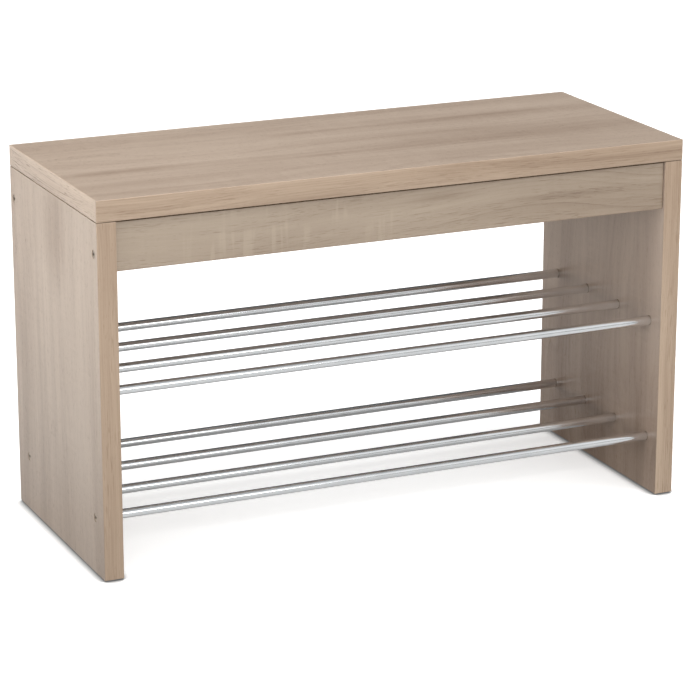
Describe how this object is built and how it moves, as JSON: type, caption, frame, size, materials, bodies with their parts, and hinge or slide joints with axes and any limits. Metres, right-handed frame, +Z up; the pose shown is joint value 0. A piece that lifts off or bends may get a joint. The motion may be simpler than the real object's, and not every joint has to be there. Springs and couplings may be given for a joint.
{
  "type": "entryway bench",
  "caption": "Wood-decor entryway bench with a flat seat board on side boards, rails under the seat and open tiers of chromed tubes for shoes.",
  "frame": {"origin": "on the floor, at the centre of the bench's footprint", "axes": "+X along the bench's length towards its right-hand end, +Y from front to back, +Z up"},
  "size_m": [0.8, 0.328, 0.482],
  "materials": {
    "face_decor": "matt oak-print melamine on chipboard, fine grain with saw marks",
    "edge_band": "matt oak-print edge banding, slightly warmer than the faces",
    "chromed_tube": "polished chrome plating",
    "zinc_fitting": "zinc-plated steel, slightly dull",
    "beech_dowel": "plain turned beech",
    "nylon_glide": "matt grey-brown nylon"
  },
  "bodies": {
    "root": {"top_panel": "face_decor", "left_side_panel": "face_decor", "right_side_panel": "face_decor", "front_apron": "face_decor", "rear_apron": "face_decor", "top_front_band": "edge_band", "top_back_band": "edge_band", "top_left_band": "edge_band", "top_right_band": "edge_band", "left_front_band": "edge_band", "left_back_band": "edge_band", "right_front_band": "edge_band", "right_back_band": "edge_band", "front_apron_band": "edge_band", "rear_apron_band": "edge_band", "lower_rod_1": "chromed_tube", "lower_rod_2": "chromed_tube", "lower_rod_3": "chromed_tube", "lower_rod_4": "chromed_tube", "upper_rod_1": "chromed_tube", "upper_rod_2": "chromed_tube", "upper_rod_3": "chromed_tube", "upper_rod_4": "chromed_tube", "left_front_rod_plug": "zinc_fitting", "left_back_rod_plug": "zinc_fitting", "right_front_rod_plug": "zinc_fitting", "right_back_rod_plug": "zinc_fitting", "left_front_tie_screw": "zinc_fitting", "left_back_tie_screw": "zinc_fitting", "right_front_tie_screw": "zinc_fitting", "right_back_tie_screw": "zinc_fitting", "left_front_apron_screw": "zinc_fitting", "left_back_apron_screw": "zinc_fitting", "right_front_apron_screw": "zinc_fitting", "right_back_apron_screw": "zinc_fitting", "left_front_cam_bolt": "zinc_fitting", "left_back_cam_bolt": "zinc_fitting", "right_front_cam_bolt": "zinc_fitting", "right_back_cam_bolt": "zinc_fitting", "left_front_cam_lock": "zinc_fitting", "left_back_cam_lock": "zinc_fitting", "right_front_cam_lock": "zinc_fitting", "right_back_cam_lock": "zinc_fitting", "left_front_apron_dowel": "beech_dowel", "left_back_apron_dowel": "beech_dowel", "right_front_apron_dowel": "beech_dowel", "right_back_apron_dowel": "beech_dowel", "left_front_seat_dowel": "beech_dowel", "left_back_seat_dowel": "beech_dowel", "right_front_seat_dowel": "beech_dowel", "right_back_seat_dowel": "beech_dowel", "left_front_glide": "nylon_glide", "left_back_glide": "nylon_glide", "right_front_glide": "nylon_glide", "right_back_glide": "nylon_glide"}
  },
  "joints": []
}
